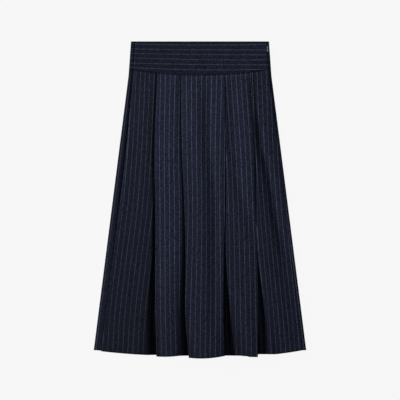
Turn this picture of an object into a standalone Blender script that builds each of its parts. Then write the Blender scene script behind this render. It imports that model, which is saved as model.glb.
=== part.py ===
"""A pleated skirt on a shaped waistband, lying flat on its back.

X runs across the skirt, +Y from hem to waist and +Z up from the surface that it lies on. The origin is
on that surface, in the middle of the outline. Sizes are in millimetres until mesh_object scales them.
"""

import bisect
import math
from collections import namedtuple

import bpy
import numpy as np

MM = 0.001

# Outline
TOP_Y = 396.1
SEAM_Y = 312.5
HEM_Y = -396.0
WAIST_HALF = 172.3
HIP_Y = 311.5
HIP_HALF = 178.25
SIDE_SLOPE = 0.1268
SEAM_RISE = 15.0
SEAM_POWER = 2.2

# Cloth
WALL = 1.2
BAND_WALL = 2.4
SEAM_GAP = 0.3

# Levels of the wall's middle: the back rests on the surface, and the front lies on the back's pleats
BACK_LEVEL = WALL / 2
BAND_BACK_LEVEL = BAND_WALL / 2
BAND_TOP_LEVEL = 5.4
BAND_SIDE_LEVEL = 6.0
BAND_MIDDLE_LEVEL = 7.4

# Heights at which the tables below give a value, from the waist seam down to the hem
HEIGHTS = (314.0, 136.0, -14.0, -138.0, -286.0, -390.0)

FRONT_LOW = (5.7, 5.7, 5.8, 6.0, 6.3, 6.6)
FRONT_SIDE = (5.7, 5.9, 6.4, 6.9, 7.5, 8.0)
LEFT_SEAM_IN = (10.0, 16.5, 17.8, 18.2, 18.3, 18.3)
RIGHT_SEAM_IN = (4.2, 4.6, 5.2, 6.0, 7.0, 8.0)
BAND_LEFT_SEAM_IN = 10.0
BAND_RIGHT_SEAM_IN = 4.2

# A knife pleat: edge is its outer fold, mouth the width that the next gore takes to drop beside it, depth
# the width hidden under it, as far as the seam between the two gores, rise the height of the edge above
# the cloth beneath, and shoulder the height of the next gore where it starts to drop. side is -1 where the
# edge faces left and 1 where it faces right.
Pleat = namedtuple("Pleat", "side edge mouth depth rise shoulder hem_edge hem_under")

FRONT_PLEATS = (
    Pleat(
        side=-1,
        edge=(-106.2, -112.2, -110.8, -110.8, -110.4, -108.2),
        mouth=(5.0, 5.0, 6.0, 10.0, 18.0, 21.0),
        depth=(40.0, 38.0, 35.0, 31.0, 25.0, 21.0),
        rise=(3.4, 4.2, 5.4, 9.0, 15.0, 18.0),
        shoulder=(0.8, 1.4, 2.2, 4.6, 8.6, 10.0),
        hem_edge=-391.5,
        hem_under=-387.1,
    ),
    Pleat(
        side=-1,
        edge=(-46.2, -44.2, -38.8, -35.6, -36.0, -27.6),
        mouth=(5.0, 5.0, 6.0, 9.0, 13.0, 21.0),
        depth=(40.0, 38.0, 35.0, 30.0, 25.0, 21.0),
        rise=(3.4, 4.2, 5.4, 9.0, 15.0, 18.0),
        shoulder=(0.8, 1.4, 2.2, 4.6, 8.6, 10.0),
        hem_edge=-395.0,
        hem_under=-389.5,
    ),
    Pleat(
        side=1,
        edge=(62.0, 63.8, 62.8, 60.0, 60.2, 62.6),
        mouth=(6.0, 9.0, 8.0, 11.0, 19.0, 28.0),
        depth=(38.0, 36.0, 34.0, 31.0, 26.0, 22.0),
        rise=(3.4, 4.0, 5.2, 9.0, 15.0, 18.0),
        shoulder=(0.8, 1.6, 2.2, 4.6, 8.6, 10.0),
        hem_edge=-389.8,
        hem_under=-389.2,
    ),
    Pleat(
        side=1,
        edge=(127.2, 132.8, 139.8, 142.2, 143.0, 143.2),
        mouth=(6.0, 9.0, 8.0, 9.0, 22.0, 32.0),
        depth=(38.0, 36.0, 34.0, 31.0, 26.0, 22.0),
        rise=(3.4, 4.0, 5.0, 8.0, 13.0, 15.5),
        shoulder=(0.8, 1.6, 2.2, 4.0, 7.0, 8.0),
        hem_edge=-392.7,
        hem_under=-386.0,
    ),
)

BACK_MOUTH = (8.0, 8.0, 8.0, 9.0, 10.0, 10.0)
BACK_DEPTH = (38.0, 36.0, 34.0, 30.0, 26.0, 22.0)
BACK_RISE = (3.4, 3.5, 3.6, 3.7, 3.9, 4.0)
BACK_PLEATS = tuple(
    Pleat(side, edge, BACK_MOUTH, BACK_DEPTH, BACK_RISE, (0.0,) * 6, hem, hem)
    for side, edge, hem in (
        (-1, (-114.0, -118.0, -122.0, -126.0, -131.0, -134.0), -386.0),
        (-1, (-52.0, -51.0, -50.0, -49.0, -47.0, -46.0), -388.5),
        (1, (52.0, 51.0, 50.0, 49.0, 47.0, 46.0), -388.5),
        (1, (114.0, 118.0, 122.0, 126.0, 131.0, 134.0), -386.0),
    )
)

# Gores from left to right as seen from the front, and the hem in the middle of each and at the side seams
GORE_PLACES = ("left_side", "left", "centre", "right", "right_side")
PANEL_HEMS = (-384.0, -391.6, -395.9, -391.0, -381.5)
LEFT_SEAM_HEM = -378.2
SIDE_HEM = -375.5

# How far each front panel swells between its edges
SIDE_CROWN = (0.0, 0.2, 0.6, 1.6, 3.6, 4.4)
INNER_CROWN = (0.0, 0.2, 0.4, 0.8, 1.2, 1.4)
MIDDLE_CROWN = (0.0, 0.0, 0.0, -0.4, -1.2, -1.6)
PANEL_CROWNS = (SIDE_CROWN, INNER_CROWN, MIDDLE_CROWN, INNER_CROWN, SIDE_CROWN)

# The width over which a panel stays level on its own pleat before it falls to the next one
LEDGE = (44.0, 42.0, 38.0, 20.0, 10.0, 8.0)
LEDGE_SIDES = (0, 1, 0, -1, 0)

# A soft trough or ridge that the cloth holds: its place and depth at each height, and its half width
Crease = namedtuple("Crease", "x depth half_width")

FRONT_CREASES = (
    Crease((8.0, 10.0, 13.0, 18.0, 24.0, 30.0), (-0.5, -1.4, -1.6, -1.2, -1.0, -1.0), 12.0),
    Crease((66.0, 77.0, 81.0, 84.0, 86.0, 88.0), (0.0, -0.8, -0.6, 0.0, 0.3, 0.4), 8.0),
    Crease((127.0, 150.0, 180.0, 194.0, 206.0, 214.0), (-0.2, -1.0, -1.5, -1.2, -0.6, -0.4), 11.0),
    Crease((-150.0, -152.0, -160.0, -168.0, -178.0, -186.0), (0.2, 0.8, 0.8, -0.6, -1.4, -1.8), 16.0),
)

# Rows of a wall from its top to its hem, as fractions, and points in one panel and one turn
ROWS = (0.0, 0.1, 0.22, 0.34, 0.46, 0.57, 0.67, 0.76, 0.84, 0.91, 0.96, 1.0)
PANEL_POINTS = 7
TURN_POINTS = 5

# Concealed zip in the side seam at +X
ZIP_TOP_Y = 391.0
ZIP_BOTTOM_Y = 190.0
TAPE_WIDTH = 12.0
TAPE_PAST_SEAM = 1.0
TAPE_LOW = 2.75
TAPE_THICK = 1.0
PIVOT_Y = 380.6
SLIDER_BASE = (3.4, 7.2, 0.8)
BRIDGE_WIDTH = 1.2
BRIDGE_POST = 1.1
BRIDGE_BAR = 0.7
EYE_ROOM = 0.3
PULL_THICK = 0.8
PULL_WIDTH = 2.8
PULL_LENGTH = 9.6
EYE_WIDTH = 1.8
EYE_LENGTH = 2.7

CLOTH_COLOUR = (0.0149, 0.0168, 0.0304, 1.0)
CLOTH_ROUGHNESS = 0.92
METAL_COLOUR = (0.10, 0.105, 0.125, 1.0)
TAPE_COLOUR = (0.010, 0.011, 0.018, 1.0)


def curve(stations, values, at):
    """The smooth curve through the values at falling stations, read at one place."""
    places = [-station for station in stations]
    place = min(max(-at, places[0]), places[-1])
    i = min(max(bisect.bisect_right(places, place) - 1, 0), len(places) - 2)
    slopes = []
    for k in (i, i + 1):
        low, high = max(k - 1, 0), min(k + 1, len(places) - 1)
        slopes.append((values[high] - values[low]) / (places[high] - places[low]))
    span = places[i + 1] - places[i]
    u = (place - places[i]) / span
    return (
        values[i] * (1 + 2 * u) * (1 - u) ** 2
        + values[i + 1] * u * u * (3 - 2 * u)
        + slopes[0] * span * u * (1 - u) ** 2
        - slopes[1] * span * u * u * (1 - u)
    )


def at_height(values, y):
    return curve(HEIGHTS, values, y)


def smooth(u):
    return u * u * (3 - 2 * u)


def side_x(y):
    """Half the width of the outline at a height."""
    if y > HIP_Y:
        return HIP_HALF + (WAIST_HALF - HIP_HALF) * (y - HIP_Y) / (TOP_Y - HIP_Y)
    return HIP_HALF + SIDE_SLOPE * (HIP_Y - y)


def seam_y(x):
    """The seam under the waistband dips towards the middle."""
    return SEAM_Y + SEAM_RISE * min(abs(x) / HIP_HALF, 1.05) ** SEAM_POWER


def arc(centre_x, centre_z, radius, start, end, count):
    """Points of a turn about a centre, from one angle in degrees to another, both included."""
    angles = [math.radians(start + (end - start) * k / (count - 1)) for k in range(count)]
    return [(centre_x + radius * math.cos(a), centre_z + radius * math.sin(a)) for a in angles]


def pleat_section(pleat, y, low, up):
    """One pleat at a height: the points of the gore on its left and of the gore on its right.

    Each point is (x, z, hem y), from left to right along the cloth, and the two gores meet in a seam that
    the pleat hides. low is the level of the cloth under the pleat, and up is 1 where the pleat faces +Z
    and -1 where it faces -Z.
    """
    edge = pleat.side * -at_height(pleat.edge, y)
    mouth, depth = at_height(pleat.mouth, y), at_height(pleat.depth, y)
    rise, shoulder = at_height(pleat.rise, y), at_height(pleat.shoulder, y)
    roll = min(rise / 4, 2.2)
    drop = [(edge - mouth + 0.7 * mouth * u, shoulder * (1 - smooth(u))) for u in (0.0, 0.25, 0.5, 0.75, 1.0)]
    seam = edge + depth
    seam_lift = WALL + SEAM_GAP
    under = [(edge + depth / 2, 0.0), (seam, 0.0)]
    returning = [
        (seam + (edge + roll - seam) * u, seam_lift + (rise - 2 * roll - seam_lift) * smooth(u))
        for u in (0.0, 0.3, 0.6, 0.85)
    ]
    outer_fold = arc(edge + roll, rise - roll, roll, 270, 90, TURN_POINTS)
    falling = [(-pleat.side * x, low + up * z, pleat.hem_under) for x, z in drop + under]
    folded = [(-pleat.side * x, low + up * z, pleat.hem_edge) for x, z in returning + outer_fold]
    return (falling, folded) if pleat.side < 0 else (folded[::-1], falling[::-1])


def panel_section(start, end, crown, hem, ledge):
    """The points between two pleats, swelling by crown, without its ends.

    ledge is the share of the width that stays level: at the start where it is positive, and at the end
    where it is negative.
    """
    points = []
    level = abs(ledge)
    falls = [level / 2, level] if level else []
    free = PANEL_POINTS - len(falls)
    falls += [level + (1 - level) * k / (free + 1) for k in range(1, free + 1)]
    shares = falls if ledge >= 0 else [1 - u for u in reversed(falls)]
    for u in shares:
        bulge = 4 * u * (1 - u)
        x = start[0] + (end[0] - start[0]) * u
        turned = u if ledge >= 0 else 1 - u
        fallen = smooth(max(turned - level, 0.0) / (1 - level))
        fallen = fallen if ledge >= 0 else 1 - fallen
        z = start[1] + (end[1] - start[1]) * fallen + crown * bulge
        straight = start[2] + (end[2] - start[2]) * u
        points.append((x, z, straight + (hem - (start[2] + end[2]) / 2) * bulge))
    return points


def left_seam_x(y):
    return -side_x(y) + at_height(LEFT_SEAM_IN, y)


def right_seam_x(y):
    return side_x(y) - at_height(RIGHT_SEAM_IN, y)


def crease_depth(x, y):
    """How much the soft creases lift the front panels at a place."""
    total = 0.0
    for crease in FRONT_CREASES:
        off = (x - at_height(crease.x, y)) / crease.half_width
        total += at_height(crease.depth, y) * math.exp(-off * off)
    return total


def front_section(y):
    """The front's gores at a height, from the left seam to the right one."""
    low, side = at_height(FRONT_LOW, y), at_height(FRONT_SIDE, y)
    pleats = [pleat_section(pleat, y, low, 1) for pleat in FRONT_PLEATS]
    left = [(left_seam_x(y) + SEAM_GAP / 2, side, LEFT_SEAM_HEM)]
    right = [(right_seam_x(y) - SEAM_GAP / 2, side, SIDE_HEM)]
    ends = [([], left), *pleats, (right, [])]
    gores = []
    for k in range(len(ends) - 1):
        before, after = ends[k][1], ends[k + 1][0]
        start, end = before[-1], after[0]
        ledge = LEDGE_SIDES[k] * at_height(LEDGE, y) / (end[0] - start[0])
        panel = panel_section(start, end, at_height(PANEL_CROWNS[k], y), PANEL_HEMS[k], ledge)
        gores.append(before + [(x, z + crease_depth(x, y), hem) for x, z, hem in panel] + after)
    return gores


def turn_section(y, side, level, seam_in, back_level):
    """The cloth that wraps round a side edge, from the seam on the front to the back's level."""
    edge, roll = side_x(y), (level - back_level) / 2
    turn = arc(edge - roll - WALL / 2, back_level + roll, roll, 90, -90, TURN_POINTS + 2)
    points = [(edge - seam_in + SEAM_GAP / 2, level)] + turn
    points = [(side * x, z, SIDE_HEM) for x, z in points]
    return points if side < 0 else points[::-1]


def back_section(y):
    """The back's gores at a height, from the left seam round under the front to the right seam."""
    level = at_height(FRONT_SIDE, y)
    pleats = []
    for pleat in BACK_PLEATS:
        rise = at_height(pleat.rise, y)
        pleats.append(pleat_section(pleat, y, BACK_LEVEL + rise, -1))
    left = turn_section(y, -1, level, at_height(LEFT_SEAM_IN, y), BACK_LEVEL)
    right = turn_section(y, 1, level, at_height(RIGHT_SEAM_IN, y), BACK_LEVEL)
    ends = [([], left), *pleats, (right, [])]
    gores = []
    for k in range(len(ends) - 1):
        before, after = ends[k][1], ends[k + 1][0]
        gores.append(before + floor_panel(before[-1], after[0]) + after)
    return gores


def floor_panel(start, end):
    """A back panel flat on the surface, rising only in the last stretch beside a pleat that it runs into."""
    ramp = 14.0
    points = []
    fractions = [k / (PANEL_POINTS - 1) for k in range(1, PANEL_POINTS - 1)]
    low_start = start[0] + (ramp if start[1] > BACK_LEVEL + 0.01 else 0.0)
    low_end = end[0] - (ramp if end[1] > BACK_LEVEL + 0.01 else 0.0)
    stops = ([low_start] if low_start > start[0] else []) + [
        low_start + (low_end - low_start) * u for u in fractions
    ] + ([low_end] if low_end < end[0] else [])
    for x in stops:
        u = (x - start[0]) / (end[0] - start[0])
        points.append((x, BACK_LEVEL, start[2] + (end[2] - start[2]) * u))
    return points


def gore_grids(section_at):
    """The points of each gore's middle, row by row. Each point is read from the section at its own height."""
    heights = np.linspace(TOP_Y, HEM_Y - 4.0, 120)
    sections = [section_at(y) for y in heights]
    at_seam = section_at(SEAM_Y + SEAM_RISE / 3)
    grids = []
    for k, seam_points in enumerate(at_seam):
        gore = np.array([section[k] for section in sections])
        tops = np.array([seam_y(x) - SEAM_GAP / 2 for x, z, hem in seam_points])
        hems = np.array([hem for x, z, hem in seam_points])
        grid = []
        for t in ROWS:
            row = []
            for i, y in enumerate(tops + (hems - tops) * t):
                x = np.interp(-y, -heights, gore[:, i, 0])
                z = np.interp(-y, -heights, gore[:, i, 1])
                row.append((x, y, z))
            grid.append(row)
        grids.append(grid)
    return grids


def material(name, colour, roughness, metallic):
    made = bpy.data.materials.new(name)
    made.use_nodes = True
    shader = made.node_tree.nodes["Principled BSDF"]
    shader.inputs["Base Color"].default_value = colour
    shader.inputs["Roughness"].default_value = roughness
    shader.inputs["Metallic"].default_value = metallic
    made.diffuse_color = colour
    return made


def mesh_object(name, points, faces, finish):
    mesh = bpy.data.meshes.new(name)
    mesh.from_pydata([tuple(MM * value for value in point) for point in points], [], faces)
    mesh.validate()
    mesh.shade_smooth()
    mesh.set_sharp_from_angle(angle=math.radians(50))
    mesh.materials.append(finish)
    made = bpy.data.objects.new(name, mesh)
    bpy.context.collection.objects.link(made)
    return made


def cloth_wall(name, grid, thickness, finish):
    """A closed wall of one thickness about the sheet that a grid of points describes."""
    across = len(grid[0])
    points = [point for row in grid for point in row]
    faces = [
        (r * across + c, (r + 1) * across + c, (r + 1) * across + c + 1, r * across + c + 1)
        for r in range(len(grid) - 1)
        for c in range(across - 1)
    ]
    made = mesh_object(name, points, faces, finish)
    wall = made.modifiers.new("Wall", "SOLIDIFY")
    wall.thickness = thickness * MM
    wall.offset = 0.0
    wall.use_even_offset = True
    wall.use_quality_normals = True
    return made


def gores(side, section_at):
    """The five gores of the front or the back, each seen from the front."""
    for place, grid in zip(GORE_PLACES, gore_grids(section_at)):
        name = f"{side}_gore_{place}"
        cloth_wall(name, grid, WALL, material(name, CLOTH_COLOUR, CLOTH_ROUGHNESS, 0.0))


def band_level(x, y):
    """The middle of the front waistband's wall, which climbs onto the pleats at its seam."""
    down = (TOP_Y - y) / (TOP_Y - SEAM_Y)
    middle = 1 - min(abs(x) / HIP_HALF, 1.0) ** 4
    lower = BAND_SIDE_LEVEL + (BAND_MIDDLE_LEVEL - BAND_SIDE_LEVEL) * middle
    return BAND_TOP_LEVEL + (lower - BAND_TOP_LEVEL) * smooth(min(down, 1.0))


def band_grid(section_at):
    grid = []
    for t in (0.0, 0.2, 0.45, 0.7, 0.88, 1.0):
        row = []
        for k in range(len(section_at(TOP_Y))):
            bottom = seam_y(section_at(SEAM_Y + SEAM_RISE)[k][0]) + SEAM_GAP / 2
            y = TOP_Y + (bottom - TOP_Y) * t
            x, z = section_at(y)[k]
            row.append((x, y, z))
        grid.append(row)
    return grid


def waistband_front(finish):
    def section(y):
        left = -side_x(y) + BAND_LEFT_SEAM_IN + SEAM_GAP / 2
        right = side_x(y) - BAND_RIGHT_SEAM_IN - SEAM_GAP / 2
        xs = [left + (right - left) * k / 16 for k in range(17)]
        return [(x, band_level(x, y)) for x in xs]

    return cloth_wall("waistband_front", band_grid(section), BAND_WALL, finish)


def waistband_back(finish):
    def section(y):
        edge = side_x(y)
        level = band_level(edge, y)
        roll = (level - BAND_BACK_LEVEL) / 2
        centre_x, centre_z = edge - roll - BAND_WALL / 2, BAND_BACK_LEVEL + roll
        turn = arc(centre_x, centre_z, roll, 90, -90, 7)
        left = [(-edge + BAND_LEFT_SEAM_IN - SEAM_GAP / 2, level)] + [(-x, z) for x, z in turn]
        right = turn[::-1] + [(edge - BAND_RIGHT_SEAM_IN + SEAM_GAP / 2, level)]
        start, end = left[-1][0], right[0][0]
        floor = [(start + (end - start) * k / 12, BAND_BACK_LEVEL) for k in range(1, 12)]
        return left + floor + right

    return cloth_wall("waistband_back", band_grid(section), BAND_WALL, finish)


def box(low, high):
    """The corners and faces of a box, faces pointing out."""
    points = [(x, y, z) for x in (low[0], high[0]) for y in (low[1], high[1]) for z in (low[2], high[2])]
    faces = [(0, 1, 3, 2), (4, 6, 7, 5), (0, 4, 5, 1), (2, 3, 7, 6), (0, 2, 6, 4), (1, 5, 7, 3)]
    return points, faces


def joined(name, boxes, finish, bevel):
    """Boxes that overlap, made one body and softened at its edges."""
    made = mesh_object(name, *box(*boxes[0]), finish)
    for k, (low, high) in enumerate(boxes[1:]):
        helper = mesh_object(f"{name}_helper_{k}", *box(low, high), finish)
        helper.hide_render = True
        helper.display_type = "WIRE"
        join = made.modifiers.new(f"Join {k}", "BOOLEAN")
        join.operation = "UNION"
        join.object = helper
    soften = made.modifiers.new("Soften", "BEVEL")
    soften.width = bevel * MM
    soften.segments = 2
    soften.limit_method = "ANGLE"
    soften.angle_limit = math.radians(40)
    return made


def zip_tape(finish):
    """The folded tape inside the side seam."""
    grid = []
    for y in np.linspace(ZIP_TOP_Y, ZIP_BOTTOM_Y, 9):
        seam = side_x(y) - (BAND_RIGHT_SEAM_IN if y > HIP_Y else at_height(RIGHT_SEAM_IN, y))
        right = seam + TAPE_PAST_SEAM
        grid.append([(right - TAPE_WIDTH, y, TAPE_LOW + TAPE_THICK / 2), (right, y, TAPE_LOW + TAPE_THICK / 2)])
    return cloth_wall("zip_tape", grid, TAPE_THICK, finish)


def pivot():
    """The axis of the pull tab, across the zip under the slider's bridge."""
    x = side_x(PIVOT_Y) - BAND_RIGHT_SEAM_IN
    face = band_level(x, PIVOT_Y) + BAND_WALL / 2
    return x, PIVOT_Y, face + SEAM_GAP + SLIDER_BASE[2] + EYE_ROOM + PULL_THICK / 2


def zip_slider(finish):
    """A base on the seam with a bridge over the pull tab's cross bar."""
    x, y, z = pivot()
    reach = PULL_THICK / 2 + EYE_ROOM
    base_top = z - reach
    bar_low = z + reach
    half = BRIDGE_WIDTH / 2
    length = SLIDER_BASE[1]
    base = (
        (x - SLIDER_BASE[0] / 2, y - length / 2, base_top - SLIDER_BASE[2]),
        (x + SLIDER_BASE[0] / 2, y + length / 2, base_top),
    )
    inner = reach
    outer = reach + BRIDGE_POST
    posts = [
        ((x - half, y + side_low, base_top - 0.4), (x + half, y + side_high, bar_low + BRIDGE_BAR))
        for side_low, side_high in ((-outer, -inner), (inner, outer))
    ]
    bar = ((x - half, y - outer, bar_low), (x + half, y + outer, bar_low + BRIDGE_BAR))
    return joined("zip_slider", [base, *posts, bar], finish, 0.12)


def zip_pull(finish):
    """A flat tab whose eye loops round the slider's bridge, with its origin on the hinge."""
    x, y, z = pivot()
    half, bar = PULL_WIDTH / 2, PULL_THICK / 2
    arm = (PULL_WIDTH - EYE_WIDTH) / 2
    cross = ((-half, -bar, -bar), (half, bar, bar))
    arms = [((low, -EYE_LENGTH - 0.2, -bar), (low + arm, 0.0, bar)) for low in (-half, half - arm)]
    tab = ((-half, -PULL_LENGTH, -bar), (half, -EYE_LENGTH, bar))
    made = joined("zip_pull", [cross, *arms, tab], finish, 0.12)
    for obj in [made] + [modifier.object for modifier in made.modifiers if modifier.type == "BOOLEAN"]:
        obj.location = (x * MM, y * MM, z * MM)
    return made


def main():
    for old in list(bpy.data.objects):
        bpy.data.objects.remove(old)
    gores("front", front_section)
    gores("back", back_section)
    waistband_front(material("waistband_front", CLOTH_COLOUR, CLOTH_ROUGHNESS, 0.0))
    waistband_back(material("waistband_back", CLOTH_COLOUR, CLOTH_ROUGHNESS, 0.0))
    zip_tape(material("zip_tape", TAPE_COLOUR, 0.8, 0.0))
    zip_slider(material("zip_slider", METAL_COLOUR, 0.4, 0.9))
    zip_pull(material("zip_pull", METAL_COLOUR, 0.35, 0.9))


main()
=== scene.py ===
"""A pleated pinstripe skirt lying flat: cloth shells on its gores and waistband, a zip, and lights.

X runs across the skirt, +Y from hem to waist and +Z up from the floor. Sizes are in millimetres until a
mesh is made. Gores are named as they are seen from the front.
"""

import math
from collections import namedtuple

import bpy
import numpy as np
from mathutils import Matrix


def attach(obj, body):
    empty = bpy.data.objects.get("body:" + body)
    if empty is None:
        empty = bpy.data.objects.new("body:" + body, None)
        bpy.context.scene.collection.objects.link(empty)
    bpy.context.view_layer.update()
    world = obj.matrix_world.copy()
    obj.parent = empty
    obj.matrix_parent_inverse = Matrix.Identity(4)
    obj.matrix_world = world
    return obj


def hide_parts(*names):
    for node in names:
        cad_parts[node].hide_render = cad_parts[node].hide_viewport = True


MM = 0.001

# Outline
TOP_Y = 396.1
SEAM_Y = 312.5
HEM_Y = -396.0
WAIST_HALF = 172.3
HIP_Y = 311.5
HIP_HALF = 178.25
SIDE_SLOPE = 0.1268
SEAM_RISE = 15.0
SEAM_POWER = 2.2
SEAM_LEVEL_FROM = 1.05
NAP = 0.4
BAND_TOP_NAP = 0.7

# Cloth
WALL = 1.2
BAND_WALL = 2.4
SEAM_GAP = 0.3
PITCH = 12.7

# Levels of the wall's middle
BACK_LEVEL = WALL / 2
BAND_BACK_LEVEL = BAND_WALL / 2
BAND_TOP_LEVEL = 5.4
BAND_SIDE_LEVEL = 6.0
BAND_MIDDLE_LEVEL = 7.4

# Heights at which the tables below give a value, from the waist seam down to the hem
HEIGHTS = (314.0, 136.0, -14.0, -138.0, -286.0, -390.0)
EVEN = (0.0,) * len(HEIGHTS)
PLAIN = (1.0,) * len(HEIGHTS)

# Levels of the front's lowest cloth and of its sides, and how far inside the edges the side seams lie
FRONT_LOW = (5.7, 5.7, 5.8, 6.0, 6.3, 6.6)
FRONT_SIDE = (5.7, 5.9, 6.4, 6.9, 7.5, 8.0)
LEFT_SEAM_IN = (10.0, 16.5, 17.8, 18.2, 18.3, 18.3)
RIGHT_SEAM_IN = (4.2, 4.6, 5.2, 6.0, 7.0, 8.0)
BAND_LEFT_SEAM_IN = 10.0
BAND_RIGHT_SEAM_IN = 4.2

# A knife pleat: side is -1 where its outer fold faces left and 1 where it faces right. edge is that
# fold, mouth the width that the next gore takes to drop beside it, depth the width hidden under it,
# rise the height of the edge above the cloth beneath, and shoulder the height of the next gore where it
# starts to drop. The last value before the hems is painted shade on the cloth inside the mouth and round
# the fold: 1 is plain, less is painted darker and more is painted lighter.
# The hem lies at hem_edge on the outer fold and at hem_under in the cloth beneath.
Pleat = namedtuple("Pleat", "side edge mouth depth rise shoulder dark hem_edge hem_under")

FRONT_PLEATS = (
    Pleat(
        side=-1,
        edge=(-106.2, -112.2, -110.8, -110.8, -110.4, -108.2),
        mouth=(5.0, 9.0, 9.0, 12.0, 22.0, 24.0),
        depth=(40.0, 38.0, 35.0, 31.0, 25.0, 21.0),
        rise=(3.4, 4.2, 5.4, 9.0, 15.0, 18.0),
        shoulder=(1.2, 2.0, 2.6, 4.6, 8.6, 10.0),
        dark=(0.75, 0.45, 0.5, 0.45, 0.7, 0.9),
        hem_edge=-391.0,
        hem_under=-387.1,
    ),
    Pleat(
        side=-1,
        edge=(-46.2, -44.2, -38.8, -35.6, -36.0, -27.6),
        mouth=(4.5, 4.5, 6.0, 10.0, 16.0, 24.0),
        depth=(40.0, 38.0, 35.0, 30.0, 25.0, 21.0),
        rise=(3.4, 4.2, 5.4, 9.0, 15.0, 18.0),
        shoulder=(1.6, 2.2, 4.0, 7.6, 13.8, 16.4),
        dark=(0.3, 0.3, 0.4, 0.5, 0.7, 0.7),
        hem_edge=-394.4,
        hem_under=-389.0,
    ),
    Pleat(
        side=1,
        edge=(62.0, 63.8, 62.8, 60.2, 58.8, 62.0),
        mouth=(3.0, 3.0, 4.0, 7.0, 23.0, 38.0),
        depth=(38.0, 36.0, 34.0, 31.0, 26.0, 22.0),
        rise=(3.4, 4.0, 5.2, 9.0, 15.0, 18.0),
        shoulder=(2.6, 3.2, 4.6, 8.2, 9.0, 10.0),
        dark=(0.9, 0.9, 1.0, 0.95, 0.85, 1.5),
        hem_edge=-389.4,
        hem_under=-388.8,
    ),
    Pleat(
        side=1,
        edge=(127.6, 137.5, 140.6, 143.0, 145.4, 144.0),
        mouth=(3.0, 1.6, 1.4, 2.4, 26.0, 43.0),
        depth=(38.0, 36.0, 34.0, 31.0, 26.0, 22.0),
        rise=(3.4, 4.0, 5.0, 8.0, 13.0, 15.5),
        shoulder=(2.4, 3.9, 5.1, 8.1, 9.0, 8.0),
        dark=(0.9, 1.1, 1.2, 1.15, 1.0, 1.4),
        hem_edge=-392.2,
        hem_under=-385.4,
    ),
)

BACK_MOUTH = (8.0, 8.0, 8.0, 9.0, 10.0, 10.0)
BACK_DEPTH = (38.0, 36.0, 34.0, 30.0, 26.0, 22.0)
BACK_RISE = (3.4, 3.5, 3.6, 3.7, 3.9, 4.0)
# Painted shade in the mouths of the back's pleats
BACK_MOUTH_SHADE = (0.4, 0.4, 0.35, 0.3, 0.25, 0.2)
BACK_PLEATS = tuple(
    Pleat(side, edge, BACK_MOUTH, BACK_DEPTH, BACK_RISE, EVEN, BACK_MOUTH_SHADE, hem, hem)
    for side, edge, hem in (
        (-1, (-114.0, -118.0, -122.0, -126.0, -131.0, -134.0), -386.0),
        (-1, (-52.0, -51.0, -50.0, -49.0, -47.0, -46.0), -388.5),
        (1, (52.0, 51.0, 50.0, 49.0, 47.0, 46.0), -388.5),
        (1, (114.0, 118.0, 122.0, 126.0, 131.0, 134.0), -386.0),
    )
)

# Where the hem lies in the middle of each gore, at the left side seam and at the sides
PANEL_HEMS = (-383.6, -391.2, -395.3, -390.6, -381.2)
LEFT_SEAM_HEM = -378.0
SIDE_HEM = -375.3

# The gores of the front: crown is how much each swells between its edges, falls how long it stays level
# on its pleat before it falls (as a power, to the left where it is negative), and the fourth value is
# painted light and shade, how much lighter or darker the gore is painted at each height. One of its
# pinstripes lies at stripe_at, and they look stripe_apart from each other.
Gore = namedtuple("Gore", "place crown falls nap stripe_at stripe_apart")

FRONT_GORES = (
    Gore(
        place="left_side",
        crown=(0.0, 0.2, 0.4, 0.6, 0.8, 1.0),
        falls=EVEN,
        nap=(0.8, 0.8, 0.77, 0.71, 0.64, 0.6),
        stripe_at=(-114.5, -122.0, -131.5, -145.8, -162.3, -168.3),
        stripe_apart=(11.3, 11.6, 12.25, 12.5, 12.6, 12.7),
    ),
    Gore(
        place="left",
        crown=(0.0, 0.3, 0.6, 1.0, 1.6, 2.0),
        falls=(9.0, 9.0, 9.0, 9.0, 12.0, 12.0),
        nap=(1.24, 1.26, 1.23, 1.2, 1.03, 0.88),
        stripe_at=(-86.3, -89.5, -88.0, -87.5, -86.5, -84.0),
        stripe_apart=(12.1, 11.9, 12.1, 12.0, 11.9, 12.0),
    ),
    Gore(
        place="centre",
        crown=(0.0, 0.0, 0.0, 0.4, 1.4, 2.2),
        falls=EVEN,
        nap=(1.2, 1.18, 1.04, 0.98, 0.99, 0.97),
        stripe_at=(3.8, 2.8, 4.3, 3.8, 1.3, 0.0),
        stripe_apart=(12.7, 11.8, 11.3, 11.8, 12.6, 12.7),
    ),
    Gore(
        place="right",
        crown=(0.0, 0.3, 0.5, 0.6, 0.8, 1.0),
        falls=(-5.0, -5.0, -4.4, -3.4, -3.0, -3.0),
        nap=(1.04, 1.04, 1.02, 0.97, 0.93, 0.93),
        stripe_at=(65.0, 77.0, 83.3, 86.3, 88.8, 91.5),
        stripe_apart=(12.2, 12.0, 12.1, 12.5, 12.6, 12.4),
    ),
    Gore(
        place="right_side",
        crown=(0.0, 0.3, 0.5, 0.7, 1.2, 1.4),
        falls=EVEN,
        nap=(0.93, 1.0, 1.0, 1.02, 1.16, 1.24),
        stripe_at=(130.8, 138.8, 148.8, 159.3, 172.5, 179.8),
        stripe_apart=(11.6, 10.9, 10.8, 11.0, 11.4, 11.8),
    ),
)
# Painted light and shade: the back and the waistband are painted darker than the front, and the waistband
# is painted lighter towards the right
BACK_PAINTED_SHADE = 0.86
BAND_PAINTED_SHADE = 0.84
BAND_PAINTED_LIGHT_RISE = 0.11
BACK_STRIPE_INSIDE_EDGE = 6.5
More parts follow.
